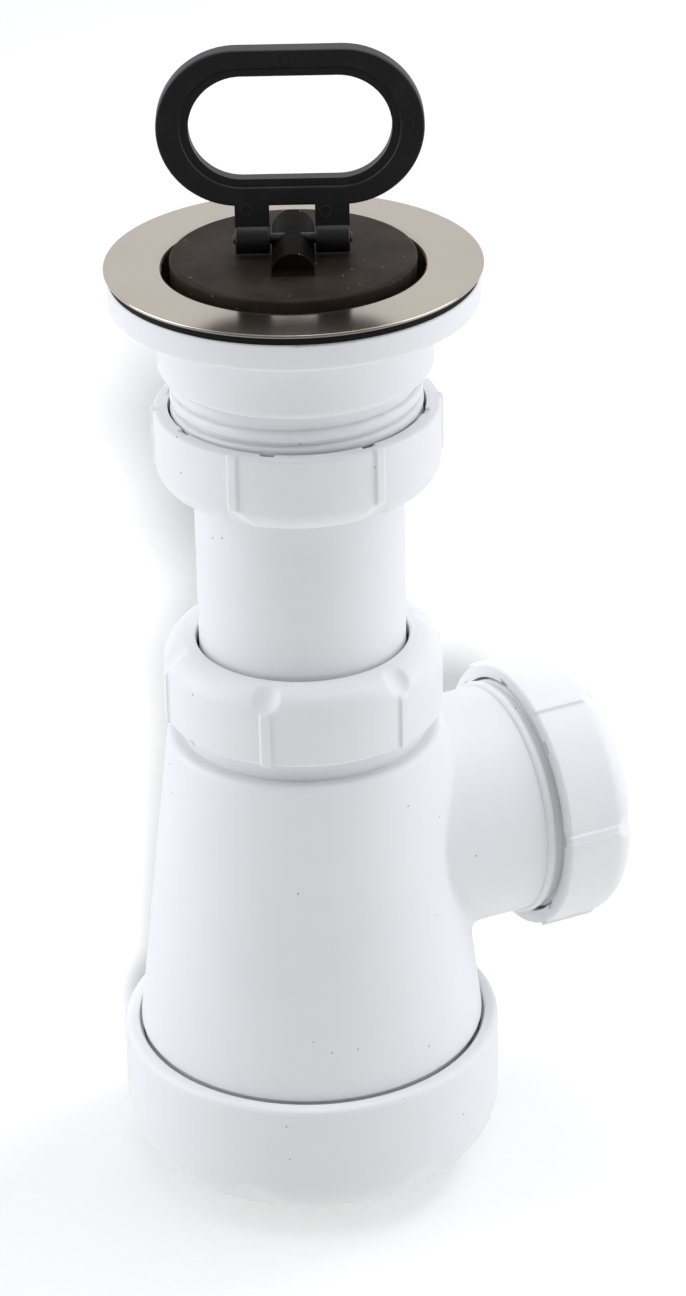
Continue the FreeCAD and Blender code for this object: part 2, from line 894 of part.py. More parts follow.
insert = new_body("clamp_nut")
screw_radius = size("screw_radius")
revolve(
    insert,
    "insert_ring",
    [
        (screw_radius + size("fixed_play"), boss_foot),
        (size("insert_radius"), boss_foot),
        (size("insert_radius"), insert_top),
        (screw_radius + size("fixed_play"), insert_top),
    ],
)
finish(insert)

screw = new_body("clamp_screw")
head_radius = size("screw_head_radius")
revolve(
    screw,
    "screw_form",
    [
        (0, seat_floor - size("screw_length")),
        (screw_radius, seat_floor - size("screw_length"), size("waste_end_round")),
        (screw_radius, seat_floor),
        (head_radius, seat_floor),
        (head_radius, seat_floor + size("screw_head_height"), size("screw_head_round")),
        (0, seat_floor + size("screw_head_height")),
    ],
)
slot_outline = new_sketch(screw, "slot_outline", "XY_Plane", seat_floor + size("screw_head_height"))
half_slot = size("screw_slot_width") / 2
draw_box(slot_outline, -head_radius - half_slot, head_radius + half_slot, -half_slot, half_slot)
pocket(screw, "screw_slot", slot_outline, size("screw_slot_depth"))
finish(screw)


# Gaskets, one on the white flange and one under the steel flange


def gasket(label, up):
    body = new_body(label)
    bore = bowl_radius + size("gasket_bore_step")
    revolve(
        body,
        f"{label}_ring",
        [
            (bore, 0),
            (gasket_radius, 0),
            (gasket_radius, size("gasket_thickness")),
            (bore, size("gasket_thickness")),
        ],
    )
    finish(body, up=up)


gasket("lower_gasket", waste_top)
gasket("upper_gasket", upper_gasket_foot)


# Steel seat: a pressed flange and dish with slots round the screw

seat = new_body("steel_seat")
seat_radius = flange_radius + size("seat_overhang")
seat_corner = size("seat_corner_round")
revolve(
    seat,
    "seat_pressing",
    [
        (seat_radius, steel_top),
        (seat_hole, steel_top, size("seat_bend")),
        (seat_foot, seat_floor, seat_corner),
        (screw_way, seat_floor),
        (screw_way, seat_floor - steel),
        (seat_foot + steel, seat_floor - steel, seat_corner + steel),
        (seat_hole + steel, steel_top - steel, size("seat_bend") - steel),
        (seat_radius, steel_top - steel),
    ],
)
slot_sketch = new_sketch(seat, "slot_sketch", "XY_Plane", seat_floor)
half_way = size("slot_width") / 2
slot_end = seat_foot - size("slot_margin")
draw_box(slot_sketch, size("slot_inner_radius"), slot_end, -half_way, half_way)
slot = pocket(seat, "slot", slot_sketch, steel + size("slot_overcut"))
polar(seat, "slots", [slot], size("slot_count"))
finish(seat)


# Plug: a rubber disc that rests in the dish, with a vaulted boss for the handle's pin

plug = new_body("plug")
plug_foot = -size("plug_thickness")
sunk = size("plug_thickness") - size("plug_stand")
seat_slope = (seat_hole - seat_foot) / size("seat_depth")
plug_foot_radius = seat_hole - seat_slope * sunk - size("fixed_play")
skirt_inside = plug_foot_radius - size("plug_skirt_width")
revolve(
    plug,
    "plug_disc",
    [
        (0, 0),
        (0, -size("plug_web")),
        (skirt_inside, -size("plug_web")),
        (skirt_inside, plug_foot),
        (plug_foot_radius, plug_foot, size("plug_foot_round")),
        (plug_radius, 0, size("plug_edge_round")),
    ],
)
vault_outline = new_sketch(plug, "vault_outline", "XZ_Plane")
vault_foot = -size("plug_web") / 2
draw_vault(vault_outline, vault_foot, size("boss_side"), size("boss_half_width"))
pad(plug, "vault", vault_outline, size("vault_length"), both_sides=True)
pin_radius = size("pin_radius")
pin_height = size("pin_height")
pin_way_outline = new_sketch(plug, "pin_way_outline", "YZ_Plane")
draw_circle(pin_way_outline, ZERO, pin_height, pin_radius + size("fixed_play"))
pocket(plug, "pin_way", pin_way_outline, lug_gap, both_sides=True)
finish(plug, handle_spin, up=plug_top)

pin = new_body("handle_pin")
half_pin = lug_gap / 2 + size("lug_width") + size("pin_end")
pin_round = size("pin_end")
revolve(
    pin,
    "pin_form",
    [
        (0, -half_pin),
        (pin_radius, -half_pin, pin_round),
        (pin_radius, half_pin, pin_round),
        (0, half_pin),
    ],
)
finish(pin, handle_spin * outward, up=plug_top + pin_height)


# Pull handle: a flat stadium ring with a thinner lip inside, on two lugs that turn on the pin

handle = new_body("pull_handle")
ring_width = plug_radius * 2 + size("ring_overhang")
ring_centre = size("ring_rise") + size("ring_height") / 2
hole_width = ring_width - size("ring_side_band") * 2
hole_height = size("ring_height") - size("ring_band") * 2
lip = size("ring_lip_width")
ring_outline = new_sketch(handle, "ring_outline", "XZ_Plane")
draw_stadium(ring_outline, ring_centre, ring_width, size("ring_height"))
draw_stadium(ring_outline, ring_centre, hole_width + lip * 2, hole_height + lip * 2)
pad(handle, "ring", ring_outline, size("ring_thickness"), both_sides=True)
doc.recompute()
rim_reach = size("ring_height").number / 2 - size("ring_band").number / 2
rim_edges = [
    f"Edge{number}"
    for number, edge in enumerate(handle.Shape.Edges, start=1)
    if edge.BoundBox.YLength < LEVEL_SPREAD
    and edge.distToShape(Part.Vertex(0, edge.CenterOfMass.y, ring_centre.number))[0] > rim_reach
]
fillet(handle, "ring_rounding", rim_edges, size("ring_edge_round"))
lip_outline = new_sketch(handle, "lip_outline", "XZ_Plane")
lip_reach = (lip + size("ring_lip_root")) * 2
draw_stadium(lip_outline, ring_centre, hole_width + lip_reach, hole_height + lip_reach)
draw_stadium(lip_outline, ring_centre, hole_width, hole_height)
pad(handle, "lip", lip_outline, size("ring_thickness") - size("ring_lip_step") * 2, both_sides=True)
half_gap = lug_gap / 2
lug_outline = new_sketch(handle, "lug_outline", "XZ_Plane")
lug_top = size("ring_rise") + size("ring_band") / 2
draw_box(lug_outline, half_gap, half_gap + size("lug_width"), ZERO, lug_top)
lug = pad(handle, "lug", lug_outline, size("ring_thickness"), both_sides=True)
knuckle_outline = new_sketch(handle, "knuckle_outline", "YZ_Plane", half_gap)
draw_circle(knuckle_outline, ZERO, ZERO, pin_height - size("knuckle_lift"))
knuckle = pad(handle, "knuckle", knuckle_outline, size("lug_width"))
pair = handle.newObject("PartDesign::Mirrored", "lug_pair")
pair.Originals = [lug, knuckle]
pair.MirrorPlane = (plane(handle, "YZ_Plane"), [""])
handle.Tip = pair
eye_outline = new_sketch(handle, "eye_outline", "YZ_Plane")
draw_circle(eye_outline, ZERO, ZERO, pin_radius + size("handle_play"))
pocket(handle, "eyes", eye_outline, ring_width, both_sides=True)
finish(handle, handle_spin, up=plug_top + pin_height)


# Check and write every sub-part

doc.recompute()
failed = [item.Name for item in doc.Objects if "Invalid" in item.State or "Error" in item.State]
if failed:
    raise RuntimeError(f"not built: {failed}")
for body in sub_parts:
    shape = body.Shape
    if shape.isNull() or not shape.isValid() or len(shape.Solids) != 1:
        raise RuntimeError(f"{body.Label} is not one valid solid")
os.makedirs("parts", exist_ok=True)
for body in sub_parts:
    body.Shape.exportStep(f"parts/{body.Label}.step")
print(f"{len(sub_parts)} sub-parts written")
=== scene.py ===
import bpy
import numpy as np
from mathutils import Matrix


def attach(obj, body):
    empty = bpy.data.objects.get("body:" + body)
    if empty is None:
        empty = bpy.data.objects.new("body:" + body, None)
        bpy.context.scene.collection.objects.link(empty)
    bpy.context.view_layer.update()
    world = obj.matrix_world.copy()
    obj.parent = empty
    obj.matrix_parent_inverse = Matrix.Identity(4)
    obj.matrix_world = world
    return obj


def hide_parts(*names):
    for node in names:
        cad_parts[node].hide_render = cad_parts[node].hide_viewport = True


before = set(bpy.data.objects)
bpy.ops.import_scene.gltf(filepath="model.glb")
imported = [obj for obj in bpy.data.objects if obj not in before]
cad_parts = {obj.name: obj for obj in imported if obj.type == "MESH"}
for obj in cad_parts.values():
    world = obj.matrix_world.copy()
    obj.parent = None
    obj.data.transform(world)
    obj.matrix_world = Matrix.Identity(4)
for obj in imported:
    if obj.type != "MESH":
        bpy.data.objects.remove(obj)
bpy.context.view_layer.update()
print("trap loaded:", len(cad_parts), "mouldings and fittings")

mm = 0.001
outletHeight = 68.5  # height of the outlet's axis over the foot, in mm


def hexToLinear(text):
    # sRGB hex to linear light: the low part divided by 12.92, the rest by the 2.4 power curve
    parts = np.array([int(text[i:i + 2], 16) for i in (1, 3, 5)]) / 255
    linear = np.where(parts <= 0.04045, parts / 12.92, ((parts + 0.055) / 1.055) ** 2.4)
    return (*linear.tolist(), 1.0)


def addNode(tree, kind, settings=None, links=None):
    # one node with its settings, its fixed inputs and the sockets that feed it
    node = tree.nodes.new(kind)
    for name, value in (settings or {}).items():
        if isinstance(name, int) or name in node.inputs:
            node.inputs[name].default_value = value
        else:
            setattr(node, name, value)
    for name, source in (links or {}).items():
        tree.links.new(source, node.inputs[name])
    return node


def newMaterial(name):
    # an empty material and the point in millimetres that its patterns read
    material = bpy.data.materials.new(name)
    material.use_nodes = True
    tree = material.node_tree
    tree.nodes.clear()
    place = addNode(tree, "ShaderNodeTexCoord").outputs["Object"]
    point = addNode(tree, "ShaderNodeVectorMath", {"operation": "SCALE", "Scale": 1000.0}, {0: place})
    return material, tree, point.outputs["Vector"]


def closeMaterial(tree, settings, links):
    # gives the material its surface and ends its tree
    surface = addNode(tree, "ShaderNodeBsdfPrincipled", settings, links)
    addNode(tree, "ShaderNodeOutputMaterial", None, {"Surface": surface.outputs["BSDF"]})


def meshFromGrid(name, grid, caps=True, loop=False, flip=False):
    # grid[i, j] is point j of ring i in mm: quads join each ring to the next, and the end rings are
    # capped; a loop joins its last ring to its first instead
    rings, steps = grid.shape[:2]
    i = np.arange(rings if loop else rings - 1)[:, None]
    j = np.arange(steps)[None, :]
    ahead, beside = (i + 1) % rings, (j + 1) % steps
    quads = np.stack([i * steps + j, i * steps + beside, ahead * steps + beside, ahead * steps + j], -1)
    faces = quads.reshape(-1, 4).tolist()
    if caps and not loop:
        faces.append(list(range(steps))[::-1])
        faces.append(list(range((rings - 1) * steps, rings * steps)))
    if flip:
        faces = [face[::-1] for face in faces]
    mesh = bpy.data.meshes.new(name)
    mesh.from_pydata((grid.reshape(-1, 3) * mm).tolist(), [], faces)
    mesh.shade_smooth()
    mesh.set_sharp_from_angle(angle=np.radians(50))
    piece = bpy.data.objects.new(name, mesh)
    bpy.context.collection.objects.link(piece)
    return piece


def alongOutlet(points):
    # lays a shape drawn about the upright axis down along +X, on the outlet's axis
    return np.stack([points[..., 2], points[..., 1], outletHeight - points[..., 0]], -1)


def turned(points, degrees):
    # turns points about the upright axis
    a = np.radians(degrees)
    x, y = points[..., 0], points[..., 1]
    return np.stack([x * np.cos(a) - y * np.sin(a), x * np.sin(a) + y * np.cos(a), points[..., 2]], -1)


def finishPiece(piece, material, body):
    # dresses a new piece with its material and hangs it on the body it moves with
    piece.data.materials.append(material)
    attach(piece, body)
    return piece


def dressNode(node, material):
    # gives a CAD node one material and leaves its mesh alone
    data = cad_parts[node].data
    data.materials.clear()
    data.materials.append(material)


whitePlastic = {  # colours, then sizes in mm
    "light": "#F4F4F5", "shade": "#ECEDEF", "speck": "#AFA59A", "cloud": 30.0, "speckEvery": 6.0,
    "speckRadius": 0.21, "ripple": 14.0, "rippleGloss": 0.12, "grit": 0.9, "gritHeight": 0.02,
    "depth": 1.5,
}


def mouldedPolypropylene(name, roughness):
    # injection-moulded polypropylene: a milky white that lets a little light in, a satin skin from the
    # spark-eroded mould and a few dust specks; the 0.2 mm grit is drawn at 0.9 mm so that it shows
    s = whitePlastic
    material, tree, point = newMaterial(name)
    cloud = addNode(tree, "ShaderNodeTexNoise", {"Scale": 1 / s["cloud"], "Detail": 2.0},
                    {"Vector": point})
    milk = addNode(tree, "ShaderNodeMix", {
        "data_type": "RGBA", 6: hexToLinear(s["light"]), 7: hexToLinear(s["shade"]),
    }, {0: cloud.outputs["Fac"]})
    dust = addNode(tree, "ShaderNodeTexVoronoi", {"Scale": 1 / s["speckEvery"]}, {"Vector": point})
    small = addNode(tree, "ShaderNodeMath", {
        "operation": "LESS_THAN", 1: s["speckRadius"] / s["speckEvery"],
    }, {0: dust.outputs["Distance"]})
    colour = addNode(tree, "ShaderNodeMix", {"data_type": "RGBA", 7: hexToLinear(s["speck"])},
                     {0: small.outputs[0], 6: milk.outputs[2]})
    grit = addNode(tree, "ShaderNodeTexNoise", {"Scale": 1 / s["grit"], "Detail": 3.0},
                   {"Vector": point})
    ripple = addNode(tree, "ShaderNodeTexNoise", {"Scale": 1 / s["ripple"], "Detail": 1.0},
                     {"Vector": point})
    skin = addNode(tree, "ShaderNodeMath", {
        "operation": "MULTIPLY_ADD", 1: s["rippleGloss"], 2: roughness - s["rippleGloss"] / 2,
    }, {0: ripple.outputs["Fac"]})
    bump = addNode(tree, "ShaderNodeBump", {"Strength": 0.12, "Distance": s["gritHeight"] * mm},
                   {"Height": grit.outputs["Fac"]})
    closeMaterial(tree, {
        "IOR": 1.49, "Subsurface Weight": 0.12, "Subsurface Radius": (1.0, 0.9, 0.8),
        "Subsurface Scale": s["depth"] * mm,
    }, {"Base Color": colour.outputs[2], "Roughness": skin.outputs[0], "Normal": bump.outputs["Normal"]})
    return material


nylonFinish = {  # colours, sizes in mm and the roughness of clean and of rubbed places
    "black": "#101011", "worn": "#1C1B1D", "scuffSize": 5.0, "grit": 0.8, "gritHeight": 0.03,
    "satin": 0.36, "rubbed": 0.5,
}


def mouldedBlackNylon(name):
    # glass-filled nylon from a polished mould: near black, satin, with scuffs that are a shade lighter
    s = nylonFinish
    material, tree, point = newMaterial(name)
    scuff = addNode(tree, "ShaderNodeTexNoise", {
        "Scale": 1 / s["scuffSize"], "Detail": 6.0, "Roughness": 0.7,
    }, {"Vector": point})
    worn = addNode(tree, "ShaderNodeMapRange", {"From Min": 0.5, "From Max": 0.75},
                   {"Value": scuff.outputs["Fac"]})
    colour = addNode(tree, "ShaderNodeMix", {
        "data_type": "RGBA", 6: hexToLinear(s["black"]), 7: hexToLinear(s["worn"]),
    }, {0: worn.outputs[0]})
    skin = addNode(tree, "ShaderNodeMapRange", {"To Min": s["satin"], "To Max": s["rubbed"]},
                   {"Value": scuff.outputs["Fac"]})
    grit = addNode(tree, "ShaderNodeTexNoise", {"Scale": 1 / s["grit"], "Detail": 3.0},
                   {"Vector": point})
    bump = addNode(tree, "ShaderNodeBump", {"Strength": 0.2, "Distance": s["gritHeight"] * mm},
                   {"Height": grit.outputs["Fac"]})
    closeMaterial(tree, {"IOR": 1.53}, {
        "Base Color": colour.outputs[2], "Roughness": skin.outputs[0], "Normal": bump.outputs["Normal"],
    })
    return material


rubberFinish = {  # colours, sizes in mm, and the painted shade laid over one height
    "plug": "#191310", "plugBloom": "#352C23", "ring": "#1B1A1A", "ringBloom": "#1C1B1D",
    "dust": "#A59C8E", "bloomSize": 9.0, "dustEvery": 3.0, "dustRadius": 0.135, "grit": 0.7,
    "gritHeight": 0.05, "sheen": 0.12, "paintedShadeAbove": 194.5, "paintedShadeOver": 1.2, "paintedShadeLevel": 0.25,
}


def pressMouldedRubber(name, dark, pale, roughness, paintedShadeOnTop):
    # compression-moulded rubber: matt brownish black with a bloom in soft clouds and pale dust grains;
    # on a piece with painted shade on top, the parts over one height are painted darker and given less
    # sheen
    s = rubberFinish
    material, tree, point = newMaterial(name)
    cloud = addNode(tree, "ShaderNodeTexNoise", {"Scale": 1 / s["bloomSize"], "Detail": 4.0},
                    {"Vector": point})
    bloom = addNode(tree, "ShaderNodeMapRange", {"From Min": 0.35, "From Max": 0.7},
                    {"Value": cloud.outputs["Fac"]})
    black = addNode(tree, "ShaderNodeMix", {
        "data_type": "RGBA", 6: hexToLinear(dark), 7: hexToLinear(pale),
    }, {0: bloom.outputs[0]}).outputs[2]
    links = {}
    # painted shade: over one height (the plug's raised boss) the colour is darkened to a quarter and the
    # sheen cut
    if paintedShadeOnTop:
        level = addNode(tree, "ShaderNodeSeparateXYZ", None, {0: point}).outputs["Z"]
        paintedShadeFactor = addNode(tree, "ShaderNodeMapRange", {
            "From Min": s["paintedShadeAbove"], "From Max": s["paintedShadeAbove"] + s["paintedShadeOver"],
            "To Min": 1.0, "To Max": s["paintedShadeLevel"],
        }, {"Value": level}).outputs[0]
        black = addNode(tree, "ShaderNodeMix", {"data_type": "RGBA", "blend_type": "MULTIPLY", 0: 1.0},
                        {6: black, 7: paintedShadeFactor}).outputs[2]
        sheen = addNode(tree, "ShaderNodeMath", {"operation": "MULTIPLY", 1: s["sheen"]}, {0: paintedShadeFactor})
        links["Specular IOR Level"] = sheen.outputs[0]
    dust = addNode(tree, "ShaderNodeTexVoronoi", {"Scale": 1 / s["dustEvery"]}, {"Vector": point})
    grain = addNode(tree, "ShaderNodeMath", {
        "operation": "LESS_THAN", 1: s["dustRadius"] / s["dustEvery"],
    }, {0: dust.outputs["Distance"]})
    colour = addNode(tree, "ShaderNodeMix", {"data_type": "RGBA", 7: hexToLinear(s["dust"])},
                     {0: grain.outputs[0], 6: black})
    grit = addNode(tree, "ShaderNodeTexNoise", {"Scale": 1 / s["grit"], "Detail": 4.0},
                   {"Vector": point})
    bump = addNode(tree, "ShaderNodeBump", {"Strength": 0.35, "Distance": s["gritHeight"] * mm},
                   {"Height": grit.outputs["Fac"]})
    links.update({"Base Color": colour.outputs[2], "Normal": bump.outputs["Normal"]})
    closeMaterial(tree, {"IOR": 1.52, "Roughness": roughness, "Specular IOR Level": s["sheen"]}, links)
    return material


steelFinish = {  # colours, roughness and sizes in mm; a scratch is stretched 50 times along the grain
    "bright": "#D0C6B9", "dull": "#C8BEB1", "roughness": 0.14, "grain": 0.35, "stretch": 0.02,
    "cloud": 18.0, "scratchDepth": 0.005,
}


def pressedStainless(name):
    # stainless sheet, belt-ground before it is pressed: a warm grey metal whose fine straight scratches
    # (0.05 mm, drawn at 0.35 mm) blur reflections across the grain
    s = steelFinish
    material, tree, point = newMaterial(name)
    along = addNode(tree, "ShaderNodeMapping", {"Scale": (s["stretch"], 1 / s["grain"], 1.0)},
                    {"Vector": point})
    scratch = addNode(tree, "ShaderNodeTexNoise", {"Scale": 1.0, "Detail": 5.0, "Roughness": 0.65},
                      {"Vector": along.outputs["Vector"]})
    cloud = addNode(tree, "ShaderNodeTexNoise", {"Scale": 1 / s["cloud"], "Detail": 2.0},
                    {"Vector": point})
    colour = addNode(tree, "ShaderNodeMix", {
        "data_type": "RGBA", 6: hexToLinear(s["bright"]), 7: hexToLinear(s["dull"]),
    }, {0: cloud.outputs["Fac"]})
    skin = addNode(tree, "ShaderNodeMapRange", {
        "To Min": s["roughness"] - 0.02, "To Max": s["roughness"] + 0.04,
    }, {"Value": scratch.outputs["Fac"]})
    bump = addNode(tree, "ShaderNodeBump", {"Strength": 0.05, "Distance": s["scratchDepth"] * mm},
                   {"Height": scratch.outputs["Fac"]})
    closeMaterial(tree, {"Metallic": 1.0}, {
        "Base Color": colour.outputs[2], "Roughness": skin.outputs[0], "Normal": bump.outputs["Normal"],
    })
    return material


turnedFinish = {  # colours, bands (0.8 gives one each 0.4 mm), sizes in mm and roughness
    "screw": "#C6C4C0", "screwDull": "#A8A6A2", "insert": "#C9A55A", "insertDull": "#A98743",
    "bands": 0.8, "cloud": 3.0, "ringDepth": 0.02, "roughness": 0.3,
}


def turnedMetal(name, bright, dull):
    # bar stock turned on a lathe: rings at the 0.2 mm feed, drawn at 0.4 mm, dulled in patches
    s = turnedFinish
    material, tree, point = newMaterial(name)
    rings = addNode(tree, "ShaderNodeTexWave", {
        "bands_direction": "Z", "Scale": s["bands"], "Distortion": 0.3,
    }, {"Vector": point})
    cloud = addNode(tree, "ShaderNodeTexNoise", {"Scale": 1 / s["cloud"], "Detail": 3.0},
                    {"Vector": point})
    colour = addNode(tree, "ShaderNodeMix", {
        "data_type": "RGBA", 6: hexToLinear(bright), 7: hexToLinear(dull),
    }, {0: cloud.outputs["Fac"]})
    bump = addNode(tree, "ShaderNodeBump", {"Strength": 0.2, "Distance": s["ringDepth"] * mm},
                   {"Height": rings.outputs["Fac"]})
    closeMaterial(tree, {"Metallic": 1.0, "Roughness": s["roughness"]}, {
        "Base Color": colour.outputs[2], "Normal": bump.outputs["Normal"],
    })
    return material


bodyPlastic = mouldedPolypropylene("satinPolypropyleneBody", 0.36)
nutPlastic = mouldedPolypropylene("glossPolypropyleneNuts", 0.35)
cupPlastic = mouldedPolypropylene("satinPolypropyleneCup", 0.32)
pipePlastic = mouldedPolypropylene("extrudedPolypropylenePipe", 0.34)
wastePlastic = mouldedPolypropylene("satinPolypropyleneWaste", 0.34)
handleNylon = mouldedBlackNylon("blackNylonHandle")
# the plug's raised boss gets painted shade
plugRubber = pressMouldedRubber("blackRubberPlug", rubberFinish["plug"], rubberFinish["plugBloom"],
                                0.55, True)
ringRubber = pressMouldedRubber("blackRubberRings", rubberFinish["ring"], rubberFinish["ringBloom"],
                                0.6, False)
seatSteel = pressedStainless("groundStainlessSeat")
screwSteel = turnedMetal("turnedSteelScrew", turnedFinish["screw"], turnedFinish["screwDull"])
insertBrass = turnedMetal("turnedBrassInsert", turnedFinish["insert"], turnedFinish["insertDull"])

for node, material in {
    "trap_body": bodyPlastic, "bottom_cup": cupPlastic, "inlet_pipe": pipePlastic,
    "top_nut": nutPlastic, "middle_nut": nutPlastic, "outlet_nut": nutPlastic,
    "waste_body": wastePlastic, "cup_seal": ringRubber, "middle_cone_seal": ringRubber,
    "outlet_cone_seal": ringRubber, "top_washer": ringRubber, "lower_gasket": ringRubber,
    "upper_gasket": ringRubber, "steel_seat": seatSteel, "clamp_screw": screwSteel,
    "clamp_nut": insertBrass, "plug": plugRubber, "handle_pin": handleNylon, "pull_handle": handleNylon,
}.items():
    dressNode(node, material)
print("finishes laid on", len(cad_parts), "nodes")


def arc(centre, radius, first, last, count):
    # points of a rounding: centre plus the radius at angles from first to last
    a = np.radians(np.linspace(first, last, count))
    return np.stack([centre[0] + radius * np.cos(a), centre[1] + radius * np.sin(a)], -1)


def run(start, end, count):
    # points evenly spread on a straight run, its end left out
    share = np.linspace(0, 1, count, endpoint=False)[:, None]
    return np.array(start) * (1 - share) + np.array(end) * share


def fade(value, low, high):
    # 0 below low, 1 above high and a smooth step between them
    share = np.clip((value - low) / (high - low), 0, 1)
    return share * share * (3 - 2 * share)


def fromNearest(theta, count, turn):
    # angle from the nearest of count marks spaced evenly round the axis
    step = 2 * np.pi / count
    return (theta - np.radians(turn) + step / 2) % step - step / 2


def hollowed(radius, height, theta, count, centre, reach, cutter, depth, lean, soft):
    # finger hollows on a rounded corner: along the corner's leaning normal the surface is the softened
    # lower of itself and a round cutter, whose distance is reach + cutter - depth less its own circle
    normal = np.array([np.cos(np.radians(lean)), np.sin(np.radians(lean))])
    along = (radius - centre[0]) * normal[0] + (height - centre[1]) * normal[1]
    beside = radius * np.sin(fromNearest(theta, count, 0))
    floor = reach + cutter - depth - np.sqrt(np.maximum(cutter ** 2 - beside ** 2, 0))
    lower = -soft * np.log(np.exp(-along / soft) + np.exp(-floor / soft))
    facing = np.abs(fromNearest(theta, count, 0)) < np.pi / 2
    step = np.where(facing, np.minimum(lower - along, 0), 0)
    return radius + step * normal[0], height + step * normal[1]


nutForm = {  # mm and degrees
    "length": 15.3, "radius": 27.0, "bore": 24.3, "hole": 20.6, "lip": 2.8, "shoulder": 4.8, "rim": 0.6,
    "rimWidth": 1.25, "ribs": 6, "ribHalfWidth": 0.95, "ribHeight": 0.5, "ribDrop": 0.3, "cutter": 4.0,
    "hollow": 0.95, "slope": 45, "soft": 0.16, "marks": 8, "markTurn": 16.8, "markHalfWidth": 1.3,
    "markWidth": 0.9, "markDepth": 0.5, "lipRound": 0.6, "crisp": 0.12, "steps": 720,
}
nutPlaces = {  # the body it rides, degrees it is turned on its thread, and where its rim stands in mm
    "top_nut": ("upper_nut", 21.0, 164.7), "middle_nut": ("neck_nut", -10.5, 101.0),
    "outlet_nut": ("side_nut", 24.2, 44.7),
}


def nutSurface():
    # the nut's section carried round its axis; six ribs stand out from the wall by a smooth step of the
    # arc from each rib, six hollows cut the shoulder, and eight marks sink into the rim beside the bore
    n = nutForm
    flat, corner = n["length"] - n["shoulder"], n["radius"] - n["shoulder"]
    ledge, bore, hole = n["length"] - n["lip"], n["bore"], n["hole"]
    lipRound, crisp = n["lipRound"], n["crisp"]
    rimFace = np.stack([bore + np.array([0, 0.12, 0.3, 0.6, 0.82, 0.95, 1.2]), np.zeros(7)], -1)
    section = np.concatenate([
        rimFace,
        arc((n["radius"] - n["rim"], n["rim"]), n["rim"], -90, 0, 6),
        run((n["radius"], n["rim"] + 0.4), (n["radius"], flat), 14),
        arc((corner, flat), n["shoulder"], 0, 90, 22),
        run((corner - 0.2, n["length"]), (hole + lipRound, n["length"]), 3),
        arc((hole + lipRound, n["length"] - lipRound), lipRound, 90, 180, 5),
        run((hole, n["length"] - lipRound - 0.2), (hole, ledge), 3),
        run((hole, ledge), (bore, ledge), 3),
        run((bore, ledge), (bore, 0), 12),
    ])
    theta = np.linspace(0, 2 * np.pi, n["steps"], endpoint=False)[None, :]
    radius = np.repeat(section[:, :1], n["steps"], axis=1)
    height = np.repeat(section[:, 1:], n["steps"], axis=1)
    outside = radius > bore + n["rimWidth"]
    beside = np.abs(radius * np.sin(fromNearest(theta, n["ribs"], 0)))
    rib = 1 - fade(beside, n["ribHalfWidth"] - 0.2, n["ribHalfWidth"] + crisp)
    lift = rib * (1 - fade(height, flat - 0.4, flat + 1.6)) * outside
    edge = fade(radius, n["radius"] - 1.2, n["radius"] - 0.1)
    radius, height = hollowed(radius, height, theta, n["ribs"], (corner, flat), n["shoulder"],
                              n["cutter"], n["hollow"], n["slope"], n["soft"])
    radius = radius + lift * n["ribHeight"] * edge
    height = height - rib * n["ribDrop"] * edge * (height < n["rim"]) * outside
    mark = 1 - fade(np.abs(radius * np.sin(fromNearest(theta, n["marks"], n["markTurn"]))),
                    n["markHalfWidth"] - crisp, n["markHalfWidth"] + crisp)
    sunk = mark * (1 - fade(section[:, :1] - bore, n["markWidth"] - crisp, n["markWidth"] + crisp / 2))
    sunk[len(rimFace):] = 0
    height = height + sunk * n["markDepth"]
    return np.stack([radius * np.cos(theta), radius * np.sin(theta), height], -1)


def flippedUp(points, rim):
    # turns a nut over, its rim up at height rim
    return np.stack([points[..., 0], -points[..., 1], rim - points[..., 2]], -1)


def lifted(points, height):
    # moves points up
    return points + np.array([0, 0, height])


for node, (body, turn, rim) in nutPlaces.items():
    grid = turned(nutSurface(), turn)
    grid = flippedUp(grid, rim) if node == "top_nut" else lifted(grid, rim)
    if node == "outlet_nut":
        grid = alongOutlet(grid)
    nut = meshFromGrid(node + "_moulding", grid, loop=True)
    finishPiece(nut, nutPlastic, body)
    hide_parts(node)

cupForm = {  # mm and degrees
    "radius": 37.7, "height": 30.4, "corner": 10.0, "foot": 25.2, "footHeight": 3.0, "mouth": 34.8,
    "bore": 34.2, "well": 31.0, "ledge": 15.4, "floor": 3.2, "wellRound": 6.0, "hollows": 6,
    "turn": -16.0, "cutter": 24.0, "hollow": 0.8, "lean": -32, "soft": 0.3, "brim": 1.4,
    "edge": 0.5, "pole": 0.02, "steps": 480,
}


